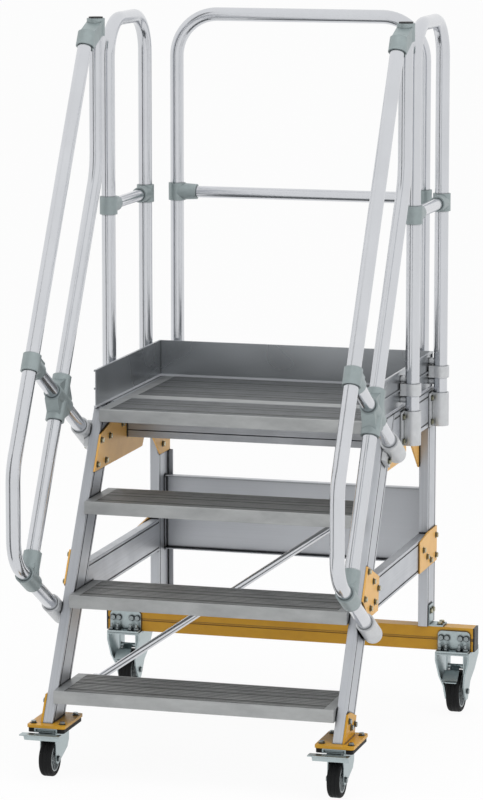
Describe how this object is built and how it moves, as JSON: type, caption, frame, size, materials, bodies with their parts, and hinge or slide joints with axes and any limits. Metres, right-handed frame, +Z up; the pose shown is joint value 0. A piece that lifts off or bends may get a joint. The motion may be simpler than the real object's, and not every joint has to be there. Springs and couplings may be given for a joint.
{
  "type": "mobile ladder stand",
  "caption": "Mobile work platform with ribbed steps, bent-tube handrails, a guardrailed deck with toe boards, and wheeled feet with brake pedals.",
  "frame": {"origin": "on the floor, below the middle of the bounding box", "axes": "+X to the right of a person who faces the stairs, +Y from the foot of the stairs to the back, +Z up"},
  "size_m": [1.134, 1.3174, 2.06],
  "materials": {
    "satin_aluminium": "satin, mill-finished extrusion",
    "rail_tube": "bright drawn tube",
    "cast_fitting": "blasted casting",
    "ochre_plate": "ochre coated steel plate",
    "zinc_steel": "zinc plated",
    "bolt_steel": "zinc plated",
    "tyre_rubber": "matt",
    "hub_plastic": "matt",
    "pad_rubber": "matt",
    "cap_plastic": "matt"
  },
  "bodies": {
    "frame": {"angle_brackets": "zinc_steel", "castor_bolts": "bolt_steel", "castor_heads": "zinc_steel", "cross_tubes": "rail_tube", "deck_plank_front": "satin_aluminium", "deck_plank_rear": "satin_aluminium", "diagonal_brace": "rail_tube", "end_caps": "cap_plastic", "foot_pads": "pad_rubber", "foot_plates": "ochre_plate", "frame_bolts": "bolt_steel", "guard_hoop_left": "rail_tube", "guard_hoop_right": "rail_tube", "guardrail_tees": "cast_fitting", "handrail_left": "rail_tube", "handrail_right": "rail_tube", "knee_rail_left": "rail_tube", "knee_rail_right": "rail_tube", "leg_cleats": "zinc_steel", "lower_gussets": "ochre_plate", "mid_rails": "rail_tube", "platform_cross_beams": "satin_aluminium", "platform_side_beams": "satin_aluminium", "post_brackets": "cast_fitting", "post_sleeves": "cast_fitting", "rail_clamps": "cast_fitting", "rear_axles": "bolt_steel", "rear_cross_beam": "ochre_plate", "rear_forks": "zinc_steel", "rear_guardrail": "rail_tube", "rear_housings": "zinc_steel", "rear_legs": "satin_aluminium", "rear_panel": "satin_aluminium", "rear_toe_board": "satin_aluminium", "side_rails": "satin_aluminium", "side_toe_boards": "satin_aluminium", "stringer_left": "satin_aluminium", "stringer_right": "satin_aluminium", "stringer_sockets": "cast_fitting", "top_joints": "cast_fitting", "tread_lower": "satin_aluminium", "tread_middle": "satin_aluminium", "tread_upper": "satin_aluminium", "upper_gussets": "ochre_plate"},
    "front_fork_left": {"front_fork_left": "zinc_steel", "front_axle_left": "bolt_steel"},
    "front_wheel_left": {"front_hub_left": "hub_plastic", "front_tyre_left": "tyre_rubber"},
    "front_brake_left": {"front_pedal_left": "zinc_steel"},
    "rear_wheel_left": {"rear_hub_left": "hub_plastic", "rear_tyre_left": "tyre_rubber"},
    "rear_brake_left": {"rear_pedal_left": "zinc_steel"},
    "front_fork_right": {"front_fork_right": "zinc_steel", "front_axle_right": "bolt_steel"},
    "front_wheel_right": {"front_hub_right": "hub_plastic", "front_tyre_right": "tyre_rubber"},
    "front_brake_right": {"front_pedal_right": "zinc_steel"},
    "rear_wheel_right": {"rear_hub_right": "hub_plastic", "rear_tyre_right": "tyre_rubber"},
    "rear_brake_right": {"rear_pedal_right": "zinc_steel"}
  },
  "joints": [
    {"name": "front_swivel_left", "type": "hinge", "parent": "frame", "child": "front_fork_left", "pos_m": [-0.409, -0.42575, 0.126], "axis": [0, 0, 1], "continuous": true},
    {"name": "front_wheel_left_spin", "type": "hinge", "parent": "front_fork_left", "child": "front_wheel_left", "pos_m": [-0.409, -0.47175, 0.05], "axis": [1, 0, 0], "continuous": true},
    {"name": "front_brake_left_press", "type": "hinge", "parent": "front_fork_left", "child": "front_brake_left", "pos_m": [-0.409, -0.48975, 0.121], "axis": [1, 0, 0], "range_deg": [0, 12]},
    {"name": "rear_wheel_left_spin", "type": "hinge", "parent": "frame", "child": "rear_wheel_left", "pos_m": [-0.506, 0.55725, 0.0625], "axis": [1, 0, 0], "continuous": true},
    {"name": "rear_brake_left_press", "type": "hinge", "parent": "frame", "child": "rear_brake_left", "pos_m": [-0.506, 0.54525, 0.139], "axis": [1, 0, 0], "range_deg": [0, 6]},
    {"name": "front_swivel_right", "type": "hinge", "parent": "frame", "child": "front_fork_right", "pos_m": [0.409, -0.42575, 0.126], "axis": [0, 0, 1], "continuous": true},
    {"name": "front_wheel_right_spin", "type": "hinge", "parent": "front_fork_right", "child": "front_wheel_right", "pos_m": [0.409, -0.47175, 0.05], "axis": [1, 0, 0], "continuous": true},
    {"name": "front_brake_right_press", "type": "hinge", "parent": "front_fork_right", "child": "front_brake_right", "pos_m": [0.409, -0.48975, 0.121], "axis": [1, 0, 0], "range_deg": [0, 12]},
    {"name": "rear_wheel_right_spin", "type": "hinge", "parent": "frame", "child": "rear_wheel_right", "pos_m": [0.506, 0.55725, 0.0625], "axis": [1, 0, 0], "continuous": true},
    {"name": "rear_brake_right_press", "type": "hinge", "parent": "frame", "child": "rear_brake_right", "pos_m": [0.506, 0.54525, 0.139], "axis": [1, 0, 0], "range_deg": [0, 6]}
  ]
}
